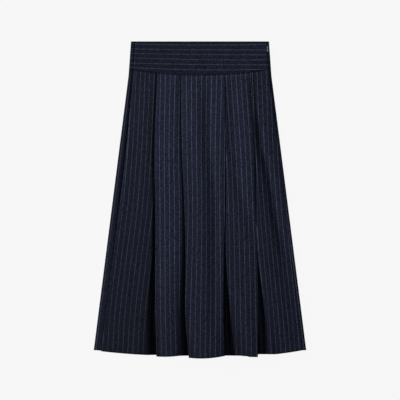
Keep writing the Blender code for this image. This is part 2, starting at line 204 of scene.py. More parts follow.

# A fold edge is round and painted darker over some width, more so towards the hem, and the cloth beside a
# mouth is painted darker too: painted shade. The last five say which gores have which edges.
FOLD_ROUND = (5.0, 6.0, 9.0, 12.0, 18.0, 24.0)
FOLD_SAG = (0.5, 0.6, 0.7, 1.2, 2.6, 4.2)
FOLD_TONE = (1.0, 0.95, 0.84, 0.7, 0.52, 0.4)
FOLD_TURN = (0.85, 1.05, 1.35, 2.2, 3.2, 3.6)
MOUTH_ROUND = (5.0, 6.0, 7.0, 10.0, 22.0, 38.0)
MOUTH_TONE = (1.0, 1.0, 1.0, 0.95, 0.6, 0.4)
RIGHT_FOLD_SAG = 0.3
RIGHT_FOLD_TURN = 1.2
LEFT_FOLDED = ("left", "centre")
RIGHT_FOLDED_TONES = {"centre": (1.0, 1.0, 1.0, 1.0, 0.85, 0.5), "right": PLAIN}
MOUTH_ON_LEFT = ("right", "right_side")
MOUTH_ON_RIGHT = ("left_side",)
MOUTH_ON_RIGHT_SHARE = 0.5

# A soft trough or ridge that the cloth holds, and the stations that it passes: its place and height
# there, and the half widths of its left and right slopes
Crease = namedtuple("Crease", "stations x height left right")

FRONT_CREASES = (
    Crease(
        stations=(318.0, 240.0, 120.0, 0.0, -140.0, -260.0, -360.0),
        x=(-8.0, -6.0, -4.0, 6.0, 8.0, 8.0, 8.0),
        height=(0.2, 2.4, 2.5, 2.0, 1.6, 0.9, 0.0),
        left=25.0,
        right=14.0,
    ),
    Crease(
        stations=(318.0, 240.0, 120.0, 0.0, -140.0, -260.0, -360.0),
        x=(22.0, 24.0, 27.0, 38.0, 39.0, 38.0, 38.0),
        height=(-0.2, -1.6, -2.0, -2.4, -2.6, -1.5, 0.0),
        left=13.0,
        right=9.0,
    ),
    Crease(
        stations=(318.0, 280.0, 180.0, 60.0, 0.0, -36.0, -80.0, -130.0),
        x=(78.0, 80.0, 83.0, 92.0, 104.0, 118.0, 134.0, 144.0),
        height=(0.0, -1.4, -2.2, -2.4, -2.2, -1.8, -1.0, 0.0),
        left=15.0,
        right=15.0,
    ),
    Crease(
        stations=(318.0, 260.0, 180.0, 90.0, 0.0, -80.0, -160.0),
        x=(120.0, 124.0, 132.0, 136.0, 140.0, 145.0, 146.0),
        height=(0.4, 1.8, 2.3, 2.2, 1.7, 1.0, 0.0),
        left=26.0,
        right=9.0,
    ),
    Crease(
        stations=(318.0, 264.0, 229.0, 174.0, 139.0, 109.0, 64.0, 19.0, -48.0, -101.0, -170.0),
        x=(135.0, 136.0, 138.0, 148.0, 150.0, 160.0, 170.0, 179.0, 189.0, 202.0, 214.0),
        height=(-0.8, -1.8, -2.4, -3.8, -4.2, -4.2, -4.2, -4.0, -3.6, -2.8, 0.0),
        left=10.5,
        right=12.0,
    ),
    Crease(
        stations=(300.0, 200.0, 80.0, -60.0, -180.0, -300.0, -390.0),
        x=(-138.0, -138.0, -140.0, -150.0, -160.0, -172.0, -182.0),
        height=(0.3, 0.8, 0.8, 0.4, -0.4, -0.8, -1.0),
        left=16.0,
        right=16.0,
    ),
    Crease(
        stations=(318.0, 250.0, 180.0, 110.0),
        x=(175.0, 177.0, 181.0, 188.0),
        height=(1.0, 1.6, 1.0, 0.0),
        left=14.0,
        right=8.0,
    ),
)

# How far each stripe of the waistband lies under its top edge, at the left, the middle and the right
BAND_STRIPES = (
    (5.6, 8.4, 6.6),
    (18.1, 20.4, 20.6),
    (29.6, 32.1, 33.1),
    (40.6, 45.1, 45.4),
    (53.4, 57.1, 57.9),
    (65.0, 70.4, 68.6),
)
BAND_STRIPES_HALF = 165.0
BAND_SIDE_POWER = 4

# How a pleat drops and folds: the share of its mouth that the drop takes, the share of the drop over
# which its painted shade deepens, and its painted shade at places round the fold. Then how a panel bends
# and is painted darker to its edges and swells between them, and the stretch over which a back gore
# climbs onto its pleat.
DROP_WIDTH = 0.7
DROP_TONE_END = 0.5
FOLD_TONE_PLACES = (0.3, 0.62, 1.0)
FOLD_SIDE_TONE = 0.8
SAG_POWER = 2
SHADE_POWER = 1.5
CROWN_POWER = 1.3
BACK_RAMP = 14.0
OFF_FLOOR = 0.01

# Points along a section, and rows down a gore
PANEL_SHARES = np.linspace(0.0, 1.0, 36)
DROP_SHARES = np.linspace(0.0, 1.0, 9)
RETURN_SHARES = np.array((0.0, 0.12, 0.3, 0.45, 0.6, 0.75, 0.88))
UNDER_SHARES = np.array((0.35, 0.7, 1.0))
FOLD_TURNS = 9
EDGE_TURNS = 15
LEAD_SHARES = np.array((0.0, 0.2, 0.4, 0.7))
BAND_COLUMNS = 150
BAND_ROWS = 40
BAND_ROW_POWER = 1.3
BAND_FLOOR_POINTS = 61
BAND_LEFT_POINTS, BAND_RIGHT_POINTS = 5, 4
SECTION_COUNT = 130
PAST_HEM = 4.0
ROW_SHARES = np.concatenate([
    np.linspace(0.0, 0.03, 9)[:-1],
    np.linspace(0.03, 0.985, 104)[:-1],
    np.linspace(0.985, 1.0, 6),
])

# Seams: how far a gore runs under the waistband, how deep the cloth dips to each seam and over what width,
# and how far the rounded rim of a piece reaches past its last points
SEAM_LAP = 2.2
WAIST_DIP = 1.5
WAIST_DIP_WIDTH = 3.0
STACK_SQUEEZE = 0.22
STACK_SQUEEZE_WIDTH = 6.0
LEFT_DIP = (2.6, 2.6, 2.0, 0.6, 0.2, 0.15)
LEFT_DIP_WIDTH = 3.4
RIGHT_DIP = (0.2, 0.3, 0.4, 0.4, 0.3, 0.3)
RIGHT_DIP_WIDTH = 2.0
RIM = 0.5
BAND_RIM = 0.9
BAND_DIP = 1.0
BAND_DIP_WIDTH = 4.0
BAND_LEFT_DIP = 0.5
BAND_RIGHT_DIP = 0.5
BAND_SIDE_DIP_WIDTH = 2.6

# How the dips and the unevenness grow with height: on the front above its lowest cloth, and on the back
# where it wraps onto the front
LIFT_HEIGHT = 3.4
LIFT_BASE = 0.1
WRAP_START = 4.2
BAND_WRAP_HEIGHT = 4.0
BAND_WRAP_BASE = 0.2

# Waves of the unevenness of cloth laid by hand
Wave = namedtuple("Wave", "height across down start")

WAVES = (
    Wave(0.22, 31.0, 74.0, 0.6),
    Wave(0.15, 17.0, -52.0, 1.9),
    Wave(0.08, 9.0, 35.0, 4.1),
)
BAND_WAVES = 0.8
BAND_WAVES_ACROSS = 1.3
BAND_WAVES_DOWN = 1.7

# Painted shade: edges are painted darker where the cloth turns under, and the cloth beside the waistband's
# seam too
EDGE_TONE = 0.5
EDGE_TONE_WIDTH = 2.2
RIGHT_EDGE_TONE = (1.0, 0.75, 0.55, 0.5, 0.5, 0.5)
SEAM_TONE = 0.3
SEAM_TONE_WIDTH = 1.6


def curve(stations, values, at):
    """The smooth curve through the values at falling stations, read at one or more places."""
    places, values = -np.array(stations), np.array(values)
    slopes = np.empty(len(places))
    slopes[1:-1] = (values[2:] - values[:-2]) / (places[2:] - places[:-2])
    slopes[0] = (values[1] - values[0]) / (places[1] - places[0])
    slopes[-1] = (values[-1] - values[-2]) / (places[-1] - places[-2])
    place = np.clip(-np.asarray(at, float), places[0], places[-1])
    i = np.clip(np.searchsorted(places, place, side="right") - 1, 0, len(places) - 2)
    span = places[i + 1] - places[i]
    u = (place - places[i]) / span
    return (
        values[i] * (1 + 2 * u) * (1 - u) ** 2
        + values[i + 1] * u * u * (3 - 2 * u)
        + slopes[i] * span * u * (1 - u) ** 2
        - slopes[i + 1] * span * u * u * (1 - u)
    )


def at_height(values, y):
    return curve(HEIGHTS, values, y)


def smooth(u):
    return u * u * (3 - 2 * u)


def hollow(off, width):
    return np.exp(-((off / width) ** 2))


def side_x(y):
    """Half the width of the outline at a height."""
    above = HIP_HALF + (WAIST_HALF - HIP_HALF) * (y - HIP_Y) / (TOP_Y - HIP_Y)
    below = HIP_HALF + SIDE_SLOPE * (HIP_Y - y)
    return np.where(y > HIP_Y, above, below)


def seam_y(x):
    """The seam under the waistband dips towards the middle."""
    return SEAM_Y + SEAM_RISE * np.minimum(np.abs(x) / HIP_HALF, SEAM_LEVEL_FROM) ** SEAM_POWER


def left_seam_x(y):
    return -side_x(y) + at_height(LEFT_SEAM_IN, y)


def right_seam_x(y):
    return side_x(y) - at_height(RIGHT_SEAM_IN, y)


def arc(centre_x, centre_z, radius, start, end, count):
    """The x and z of points of a turn about a centre, from one angle in degrees to another."""
    angles = np.radians(np.linspace(start, end, count))
    return centre_x + radius * np.cos(angles), centre_z + radius * np.sin(angles)


def rows_of(x, z, hem, painted_shading):
    """Points of a section as rows of x, z, hem y and painted shading."""
    return np.column_stack(np.broadcast_arrays(x, z, hem, painted_shading)).astype(float)


def crease_lift(x, y):
    """How much the soft creases lift the front panels at places of one height."""
    total = np.zeros(len(x))
    for crease in FRONT_CREASES:
        off = x - curve(crease.stations, crease.x, y)
        half = np.where(off < 0, crease.left, crease.right)
        total += curve(crease.stations, crease.height, y) * hollow(off, half)
    return total


def pleat_section(pleat, y, low, up, turn_radius):
    """One pleat at a height: the points of the gores on its left and on its right."""
    edge = pleat.side * -at_height(pleat.edge, y)
    mouth, depth = at_height(pleat.mouth, y), at_height(pleat.depth, y)
    rise, shoulder = at_height(pleat.rise, y), at_height(pleat.shoulder, y)
    dark = at_height(pleat.dark, y)
    roll = min(rise / 4, turn_radius)
    drop_x = edge - mouth + DROP_WIDTH * mouth * DROP_SHARES
    drop_z = shoulder * (1 - smooth(DROP_SHARES))
    # Painted shade: the cloth is painted darker down the drop into the mouth, under the fold and round it
    drop_tone = 1 - (1 - dark) * smooth(np.minimum(DROP_SHARES / DROP_TONE_END, 1.0))
    seam, seam_lift = edge + depth, WALL + SEAM_GAP
    under_x = drop_x[-1] + (seam - drop_x[-1]) * UNDER_SHARES
    return_x = seam + (edge + roll - seam) * RETURN_SHARES
    return_z = seam_lift + (rise - 2 * roll - seam_lift) * smooth(RETURN_SHARES)
    fold_x, fold_z = arc(edge + roll, rise - roll, roll, 270, 90, FOLD_TURNS)
    turned = np.linspace(0, 1, FOLD_TURNS)
    fold_tone = np.interp(turned, FOLD_TONE_PLACES, (dark, max(dark, FOLD_SIDE_TONE), 1.0))
    falling = np.vstack([
        rows_of(drop_x, drop_z, pleat.hem_under, drop_tone),
        rows_of(under_x, 0.0, pleat.hem_under, dark),
    ])
    folded = np.vstack([
        rows_of(return_x, return_z, pleat.hem_edge, dark),
        rows_of(fold_x, fold_z, pleat.hem_edge, fold_tone),
    ])
    for part in (falling, folded):
        part[:, 0] *= -pleat.side
        part[:, 1] = low + up * part[:, 1]
    return (falling, folded) if pleat.side < 0 else (folded[::-1], falling[::-1])


def panel_section(start, end, crown, falls, hem):
    """The points between two pleats, without their ends."""
    u = PANEL_SHARES[1:-1]
    bulge = 4 * u * (1 - u)
    fallen = smooth(u)
    if falls > 0:
        fallen = u**falls
    elif falls < 0:
        fallen = 1 - (1 - u) ** -falls
    x = start[0] + (end[0] - start[0]) * u
    z = start[1] + (end[1] - start[1]) * fallen + crown * bulge**CROWN_POWER
    straight = start[2] + (end[2] - start[2]) * u
    return rows_of(x, z, straight + (hem - (start[2] + end[2]) / 2) * bulge, 1.0)


def along(points):
    """How far along the cloth each point of a section lies."""
    steps = np.hypot(*np.diff(points[:, :2], axis=0).T)
    return np.concatenate([[0.0], np.cumsum(steps)])


def round_off(points, edge_x, inward, width, sag, painted_shading):
    """Bends a panel's points down to the edge beside them, and paints shade on them."""
    off = inward * (points[:, 0] - edge_x)
    share = np.clip(1 - off / width, 0.0, 1.0)
    points[:, 1] -= sag * share**SAG_POWER
    points[:, 3] *= 1 - (1 - painted_shading) * share**SHADE_POWER


def front_section(y):
    """The front's gores at a height, as rows of x, z, hem y, painted shading and place among the
    pinstripes.
    """
    low, side = at_height(FRONT_LOW, y), at_height(FRONT_SIDE, y)
    sag, fold_tone, mouth_tone = (at_height(values, y) for values in (FOLD_SAG, FOLD_TONE, MOUTH_TONE))
    fold_width, mouth_width = at_height(FOLD_ROUND, y), at_height(MOUTH_ROUND, y)
    turns = {-1: at_height(FOLD_TURN, y), 1: RIGHT_FOLD_TURN}
    pleats = [pleat_section(pleat, y, low, 1, turns[pleat.side]) for pleat in FRONT_PLEATS]
    left = rows_of(left_seam_x(y) + SEAM_GAP / 2 + RIM, side, LEFT_SEAM_HEM, 1.0)
    right = rows_of(right_seam_x(y) - SEAM_GAP / 2 - RIM, side, SIDE_HEM, 1.0)
    none = np.empty((0, 4))
    ends = [(none, left), *pleats, (right, none)]
    gores = []
    for k, gore in enumerate(FRONT_GORES):
        before, after = ends[k][1], ends[k + 1][0]
        crown, falls = at_height(gore.crown, y), at_height(gore.falls, y)
        panel = panel_section(before[-1], after[0], crown, falls, PANEL_HEMS[k])
        panel[:, 1] += crease_lift(panel[:, 0], y)
        points = np.vstack([before, panel, after])
        first, last = len(before) - 1, len(before) + len(panel)
        left_edge, right_edge = points[first, 0], points[last, 0]
        # Fold edges are bent down and painted darker, and the cloth beside mouths is painted darker:
        # painted shade
        if gore.place in LEFT_FOLDED:
            turned = points[first - FOLD_TURNS // 2 : last + 1]
            round_off(turned, left_edge, 1, fold_width, sag, fold_tone)
        if gore.place in RIGHT_FOLDED_TONES:
            right_tone = at_height(RIGHT_FOLDED_TONES[gore.place], y)
            turned = points[first : last + 1 + FOLD_TURNS // 2]
            round_off(turned, right_edge, -1, fold_width, RIGHT_FOLD_SAG, right_tone)
        if gore.place in MOUTH_ON_LEFT:
            round_off(points[: last + 1], left_edge, 1, mouth_width, 0.0, mouth_tone)
        if gore.place in MOUTH_ON_RIGHT:
            weaker_tone = 1 - (1 - mouth_tone) * MOUTH_ON_RIGHT_SHARE
            round_off(points[first:], right_edge, -1, mouth_width, 0.0, weaker_tone)
        # Painted light and shade over the whole gore, lighter or darker by height
        points[:, 3] *= at_height(gore.nap, y)
        length = along(points)
        places = (points[:, 0] - at_height(gore.stripe_at, y)) / at_height(gore.stripe_apart, y)
        places[:first] = places[first] - (length[first] - length[:first]) / PITCH
        places[last + 1 :] = places[last] + (length[last + 1 :] - length[last]) / PITCH
        gores.append(np.column_stack([points, places]))
    return gores


def turn_section(y, side, level, seam_in, back_level):
    """The cloth that wraps round a side edge, from the seam on the front to the back's level."""
    edge, roll = side_x(y) + NAP, (level - back_level) / 2
    turn_x, turn_z = arc(edge - roll - WALL / 2, back_level + roll, roll, 90, -90, EDGE_TURNS)
    seam = edge - NAP - seam_in + SEAM_GAP / 2 + RIM
    lead_x = seam + (turn_x[0] - seam) * LEAD_SHARES
    x = np.concatenate([lead_x, turn_x])
    z = np.concatenate([np.full(len(lead_x), level), turn_z])
    # Painted shade on the cloth where it turns round the edge
    edge_tone = EDGE_TONE if side < 0 else at_height(RIGHT_EDGE_TONE, y)
    painted_shading = 1 - (1 - edge_tone) * hollow(edge - WALL / 2 - x, EDGE_TONE_WIDTH)
    points = rows_of(side * x, z, SIDE_HEM, painted_shading)
    return points if side < 0 else points[::-1]


def floor_panel(start, end):
    """A back panel flat on the floor, which rises only beside a pleat that it runs onto."""
    x = start[0] + (end[0] - start[0]) * PANEL_SHARES[1:-1:2]
    climb = np.zeros(len(x))
    if start[1] > BACK_LEVEL + OFF_FLOOR:
        climb += (start[1] - BACK_LEVEL) * np.clip((start[0] + BACK_RAMP - x) / BACK_RAMP, 0.0, 1.0)
    if end[1] > BACK_LEVEL + OFF_FLOOR:
        climb += (end[1] - BACK_LEVEL) * np.clip((x - end[0] + BACK_RAMP) / BACK_RAMP, 0.0, 1.0)
    hem = start[2] + (end[2] - start[2]) * PANEL_SHARES[1:-1:2]
    return rows_of(x, BACK_LEVEL + climb, hem, 1.0)


def back_section(y):
    """The back's gores at a height, as rows of x, z, hem y, painted shading and place among the
    pinstripes.
    """
    level = at_height(FRONT_SIDE, y)
    rises = [at_height(pleat.rise, y) for pleat in BACK_PLEATS]
    pleats = [pleat_section(p, y, BACK_LEVEL + rise, -1, WALL) for p, rise in zip(BACK_PLEATS, rises)]
    left = turn_section(y, -1, level, at_height(LEFT_SEAM_IN, y), BACK_LEVEL)
    right = turn_section(y, 1, level, at_height(RIGHT_SEAM_IN, y), BACK_LEVEL)
    none = np.empty((0, 4))
    ends = [(none, left), *pleats, (right, none)]
    gores = []
    for k in range(len(ends) - 1):
        before, after = ends[k][1], ends[k + 1][0]
        points = np.vstack([before, floor_panel(before[-1], after[0]), after])
        # Painted shade over the whole back
        points[:, 3] *= BACK_PAINTED_SHADE
        length = along(points)
        if k == 0:
            origin = length[np.argmin(points[:, 0])] - BACK_STRIPE_INSIDE_EDGE
        elif k == len(ends) - 2:
            origin = length[np.argmax(points[:, 0])] + BACK_STRIPE_INSIDE_EDGE
        else:
            origin = (length[len(before) - 1] + length[-len(after)]) / 2
        gores.append(np.column_stack([points, (length - origin) / PITCH]))
    return gores


def ripple(x, y):
    """The slight unevenness of cloth laid by hand."""
    return sum(wave.height * np.sin(x / wave.across + y / wave.down + wave.start) for wave in WAVES)


def gore_grids(section_at):
    """Each gore's points, row by row: x, y, z, place among the pinstripes, and painted shading."""
    heights = np.linspace(TOP_Y, HEM_Y - PAST_HEM, SECTION_COUNT)
    sections = [section_at(y) for y in heights]
    at_seam = section_at(SEAM_Y + SEAM_RISE / 3)
    grids = []
    for k, seam_points in enumerate(at_seam):
        gore = np.array([section[k] for section in sections])
        tops = seam_y(seam_points[:, 0]) + SEAM_LAP
        hems = seam_points[:, 2] + RIM
        grid = np.empty((len(ROW_SHARES), len(tops), 5))
        for i in range(len(tops)):
            y = tops[i] + (hems[i] - tops[i]) * ROW_SHARES
            grid[:, i, 1] = y
            for channel, source in ((0, 0), (2, 1), (3, 4), (4, 3)):
                grid[:, i, channel] = np.interp(-y, -heights, gore[:, i, source])
            # Painted shade along the hem and just below the waistband's seam
            grid[:, i, 4] *= 1 - (1 - EDGE_TONE) * hollow(y - hems[i], EDGE_TONE_WIDTH)
            below_band = np.maximum(tops[i] - SEAM_LAP - y, 0.0)
            grid[:, i, 4] *= 1 - (1 - SEAM_TONE) * hollow(below_band, SEAM_TONE_WIDTH)
        grids.append(grid)
    return grids


def settle_front(grid):
    """The front's points squeezed and dipped to the seams, and a little uneven."""
    x, y, z = grid[:, :, 0], grid[:, :, 1], grid[:, :, 2]
    low = at_height(FRONT_LOW, y)
    below_seam = seam_y(x) - y
    height = np.clip((z - low) / LIFT_HEIGHT + LIFT_BASE, 0.0, 1.0)
    settled = low + (z - low) * (1 - STACK_SQUEEZE * hollow(below_seam, STACK_SQUEEZE_WIDTH))
    settled -= WAIST_DIP * np.where(below_seam < 0, 1.0, hollow(below_seam, WAIST_DIP_WIDTH)) * height
    settled -= at_height(LEFT_DIP, y) * hollow(x - left_seam_x(y), LEFT_DIP_WIDTH)
    settled -= at_height(RIGHT_DIP, y) * hollow(x - right_seam_x(y), RIGHT_DIP_WIDTH)
    grid[:, :, 2] = settled + height * ripple(x, y)
    return grid


def settle_back(grid):
    """The back's points where they wrap onto the front, dipped to the side seams with the front."""
    x, y, z = grid[:, :, 0], grid[:, :, 1], grid[:, :, 2]
    side = at_height(FRONT_SIDE, y)
    onto = np.clip((z - BACK_LEVEL - WRAP_START) / (side - BACK_LEVEL - WRAP_START), 0.0, 1.0)
    dip = at_height(LEFT_DIP, y) * hollow(x - left_seam_x(y), LEFT_DIP_WIDTH)
    dip += at_height(RIGHT_DIP, y) * hollow(x - right_seam_x(y), RIGHT_DIP_WIDTH)
    grid[:, :, 2] = z - onto * dip
    return grid


def band_level(x, y):
    """The middle of the front waistband's wall, which climbs onto the pleats at its seam."""
    down = (TOP_Y - y) / (TOP_Y - SEAM_Y)
    middle = 1 - np.minimum(np.abs(x) / HIP_HALF, 1.0) ** BAND_SIDE_POWER
    lower = BAND_SIDE_LEVEL + (BAND_MIDDLE_LEVEL - BAND_SIDE_LEVEL) * middle
    return BAND_TOP_LEVEL + (lower - BAND_TOP_LEVEL) * smooth(np.minimum(down, 1.0))


def band_stripe_place(x, y):
    """The place among the waistband's stripes, which sag a little towards the middle."""
    across = np.clip(x / BAND_STRIPES_HALF, -1.0, 1.0)
    weights = np.array((across * (across - 1) / 2, 1 - across * across, across * (across + 1) / 2))
    below = np.array(BAND_STRIPES) @ weights
    below = np.vstack([below[0] - PITCH, below, below[-1] + PITCH])
    numbers = np.arange(len(below))
    return np.array([np.interp(TOP_Y - y[i], below[:, i], numbers) for i in range(len(y))])


def band_grid(section_at):
    """The points of a waistband's middle, row by row, with their place among its stripes and painted
    shading.
    """
    top = TOP_Y + BAND_TOP_NAP - BAND_RIM
    shares = 1 - (1 - np.linspace(0.0, 1.0, BAND_ROWS)) ** BAND_ROW_POWER
    bottoms = seam_y(section_at(SEAM_Y + SEAM_RISE)[0]) + SEAM_GAP / 2 + BAND_RIM
    grid = np.empty((BAND_ROWS, len(bottoms), 5))
    for k, bottom in enumerate(bottoms):
        for r, y in enumerate(top + (bottom - top) * shares):
            x, z = section_at(y)
            grid[r, k, :3] = (x[k], y, z[k])
    for r in range(BAND_ROWS):
        x, y = grid[r, :, 0], grid[r, :, 1]
        grid[r, :, 3] = band_stripe_place(x, y)
        edge_off = side_x(y) + NAP - np.abs(x)
        # Painted shade along the band's top edge, its sides and its seam, and painted light and shade
        # across it
        painted_shading = 1 - (1 - EDGE_TONE) * hollow(TOP_Y - y, EDGE_TONE_WIDTH)
        painted_shading *= 1 - (1 - EDGE_TONE) * hollow(edge_off, EDGE_TONE_WIDTH)
        painted_shading *= 1 - (1 - SEAM_TONE) * hollow(y - seam_y(x), SEAM_TONE_WIDTH)
        grid[r, :, 4] = (BAND_PAINTED_SHADE + BAND_PAINTED_LIGHT_RISE * x / WAIST_HALF) * painted_shading
    return grid


def settle_band(grid, front):
    """The waistband, dipped to its seams."""
    x, y, z = grid[:, :, 0], grid[:, :, 1], grid[:, :, 2]
    climbed = (z - BAND_BACK_LEVEL) / BAND_WRAP_HEIGHT - BAND_WRAP_BASE
    raised = 1.0 if front else np.clip(climbed, 0.0, 1.0)
    dip = BAND_DIP * hollow(y - seam_y(x), BAND_DIP_WIDTH)
    dip += BAND_LEFT_DIP * hollow(x + side_x(y) - BAND_LEFT_SEAM_IN, BAND_SIDE_DIP_WIDTH)
    dip += BAND_RIGHT_DIP * hollow(x - side_x(y) + BAND_RIGHT_SEAM_IN, BAND_SIDE_DIP_WIDTH)
    uneven = BAND_WAVES * ripple(x * BAND_WAVES_ACROSS, y * BAND_WAVES_DOWN)
    grid[:, :, 2] = z + raised * (uneven - dip)
    return grid


def band_front_section(y):
    left = -side_x(y) + BAND_LEFT_SEAM_IN + SEAM_GAP / 2 + BAND_RIM
    right = side_x(y) - BAND_RIGHT_SEAM_IN - SEAM_GAP / 2 - BAND_RIM
    x = np.linspace(left, right, BAND_COLUMNS)
    return x, band_level(x, y)


def band_back_section(y):
    edge = side_x(y) + NAP
    level = band_level(edge, y)
    roll = (level - BAND_BACK_LEVEL) / 2
    turn_x, turn_z = arc(edge - roll - BAND_WALL / 2, BAND_BACK_LEVEL + roll, roll, 90, -90, EDGE_TURNS)
    left_seam = edge - NAP - BAND_LEFT_SEAM_IN + SEAM_GAP / 2 + BAND_RIM
    right_seam = edge - NAP - BAND_RIGHT_SEAM_IN + SEAM_GAP / 2 + BAND_RIM
    left_x = -np.linspace(left_seam, turn_x[0], BAND_LEFT_POINTS)[:-1]
    right_x = np.linspace(turn_x[0], right_seam, BAND_RIGHT_POINTS)[1:]
    floor_x = np.linspace(-turn_x[-1], turn_x[-1], BAND_FLOOR_POINTS)[1:-1]
    x = np.concatenate([left_x, -turn_x, floor_x, turn_x[::-1], right_x])
    z = np.concatenate([
        np.full(len(left_x), level),
        turn_z,
        np.full(len(floor_x), BAND_BACK_LEVEL),
        turn_z[::-1],
        np.full(len(right_x), level),
    ])
    return x, z


def normals_of(points):
    down = np.gradient(points, axis=0)
    across = np.gradient(points, axis=1)
    normals = np.cross(down, across)
    return normals / np.maximum(np.linalg.norm(normals, axis=2, keepdims=True), 1e-9)


def border(rows, columns):
    """The grid places round a sheet's edge, clockwise as seen from above."""
    top = [(0, c) for c in range(columns - 1)]
    right = [(r, columns - 1) for r in range(rows - 1)]
    bottom = [(rows - 1, c) for c in range(columns - 1, 0, -1)]
    left = [(r, 0) for r in range(rows - 1, 0, -1)]
    return top + right + bottom + left


def pushed_out(points, place, distance):
    """A point of a sheet's edge, moved outward in the sheet's own plane."""
    r, c = place
    rows, columns = points.shape[:2]
    out = np.zeros(3)
    for edge_at, inner in (
        (r == 0, (min(r + 1, rows - 1), c)),
        (r == rows - 1, (max(r - 1, 0), c)),
        (c == 0, (r, min(c + 1, columns - 1))),
        (c == columns - 1, (r, max(c - 1, 0))),
    ):
        if edge_at:
            step = points[r, c] - points[inner]
            out += step / max(np.linalg.norm(step), 1e-9)
    return points[r, c] + out * distance


def shell(name, grid, thickness, rim, grain_axis, finish):
    """A closed cloth shell about a grid of points, with rounded edges and its pinstripe coordinates."""
    points = grid[:, :, :3]
    rows, columns = points.shape[:2]
    half = normals_of(points) * thickness / 2
    outer, inner = points + half, points - half
    edge = border(rows, columns)
    ring = np.array([pushed_out(points, place, rim) for place in edge])
    count = rows * columns
    vertices = np.concatenate([outer.reshape(-1, 3), inner.reshape(-1, 3), ring]) * MM
    at = np.arange(count).reshape(rows, columns)
    corners = np.stack([at[:-1, :-1], at[1:, :-1], at[1:, 1:], at[:-1, 1:]], axis=-1).reshape(-1, 4)
    rim_faces = []
    for k, place in enumerate(edge):
        follower = (k + 1) % len(edge)
        a, b = at[place], at[edge[follower]]
        ring_a, ring_b = 2 * count + k, 2 * count + follower
        rim_faces.append((a, b, ring_b, ring_a))
        rim_faces.append((ring_a, ring_b, b + count, a + count))
    faces = np.concatenate([corners, corners[:, ::-1] + count, np.array(rim_faces)])
    mesh = bpy.data.meshes.new(name)
    mesh.from_pydata(vertices.tolist(), [], faces.tolist())
    on_ring = np.array([r * columns + c for r, c in edge])
    # The pinstripe places, the grain and the painted light and shade go onto the mesh as point attributes
    for label, channel in (("stripe", 3), ("grain", grain_axis), ("painted_shading", 4)):
        values = grid[:, :, channel].ravel()
        attribute = mesh.attributes.new(label, "FLOAT", "POINT")
        attribute.data.foreach_set("value", np.concatenate([values, values, values[on_ring]]))
    mesh.shade_smooth()
    mesh.materials.append(finish)
    piece = bpy.data.objects.new(name, mesh)
    bpy.context.scene.collection.objects.link(piece)
    return piece


class Graph:
    """Short calls that add a material's nodes."""

    def __init__(self, name):
        self.material = bpy.data.materials.new(name)
        self.material.use_nodes = True
        self.tree = self.material.node_tree
        self.shader = self.tree.nodes["Principled BSDF"]

    def node(self, kind, **settings):
        made = self.tree.nodes.new(kind)
        for key, value in settings.items():
            setattr(made, key, value)
        return made

    def put(self, socket, value):
        if isinstance(value, bpy.types.NodeSocket):
            self.tree.links.new(value, socket)
        else:
            socket.default_value = value

    def set(self, **values):
        """Sets the shader's sockets by their names, with _ for a space."""
        for label, value in values.items():
            self.put(self.shader.inputs[label.replace("_", " ")], value)

    def math(self, operation, *values):
        made = self.node("ShaderNodeMath", operation=operation)
        for socket, value in zip(made.inputs, values):
            self.put(socket, value)
        return made.outputs[0]

    def ramp(self, value, low, high, to_low=0.0, to_high=1.0):
        made = self.node("ShaderNodeMapRange", interpolation_type="SMOOTHSTEP")
        for label, setting in (
            ("Value", value),
            ("From Min", low),
            ("From Max", high),
            ("To Min", to_low),
            ("To Max", to_high),
        ):
            self.put(made.inputs[label], setting)
        return made.outputs["Result"]

    def noise(self, vector, scale, detail=2.0, roughness=0.5):
        made = self.node("ShaderNodeTexNoise")
        for label, value in (
            ("Vector", vector),
            ("Scale", scale),
            ("Detail", detail),
            ("Roughness", roughness),
        ):
            self.put(made.inputs[label], value)
        return made.outputs["Fac"]

    def attribute(self, label):
        return self.node("ShaderNodeAttribute", attribute_name=label).outputs["Fac"]

    def vector(self, x, y, z=0.0):
        made = self.node("ShaderNodeCombineXYZ")
        for socket, value in zip(made.inputs, (x, y, z)):
            self.put(socket, value)
        return made.outputs[0]

    def object_place(self):
        return self.node("ShaderNodeTexCoord").outputs["Object"]

    def mix(self, share, first, second):
        made = self.node("ShaderNodeMix", data_type="RGBA")
        for index, value in ((0, share), (6, first), (7, second)):
            self.put(made.inputs[index], value)
        return made.outputs[2]

    def scaled(self, colour, factor):
        made = self.node("ShaderNodeVectorMath", operation="SCALE")
        self.put(made.inputs[0], colour)
        self.put(made.inputs["Scale"], factor)
        return made.outputs[0]

    def bump(self, height, strength, distance):
        made = self.node("ShaderNodeBump")
        for label, value in (("Strength", strength), ("Distance", distance), ("Height", height)):
            self.put(made.inputs[label], value)
        self.set(Normal=made.outputs["Normal"])


# Flannel: its colours, its pinstripes with their fuzzy sides and chalky beads, its heather of streaks
# and fibres, and its twill
CLOTH_DARK = (0.0042, 0.0053, 0.0128, 1.0)
CLOTH_LIGHT = (0.0150, 0.0178, 0.0345, 1.0)
STRIPE_COLOUR = (0.074, 0.083, 0.118, 1.0)
STRIPE_HALF = 0.62
STRIPE_FUZZ = 0.30
FUZZ_SCALE = 1000.0
FUZZ_REACH = 0.6
BEAD_STEP = 7.3
BEAD_SCALE = 0.26
BEAD_FAINT, BEAD_STRONG = 0.34, 0.64
BEAD_LEAST = 0.15
STREAK_ACROSS, STREAK_ALONG = 0.4, 0.07
STREAK_SHARE = 0.42
FIBRE_SCALE = 310.0
FIBRE_SHARE = 0.8
HEATHER_LOW, HEATHER_HIGH = 0.47, 0.75
TWILL_PITCH = 0.9
TWILL_HEIGHT = 0.25
TWILL_BUMP = 0.3
TWILL_DEPTH = 0.0002


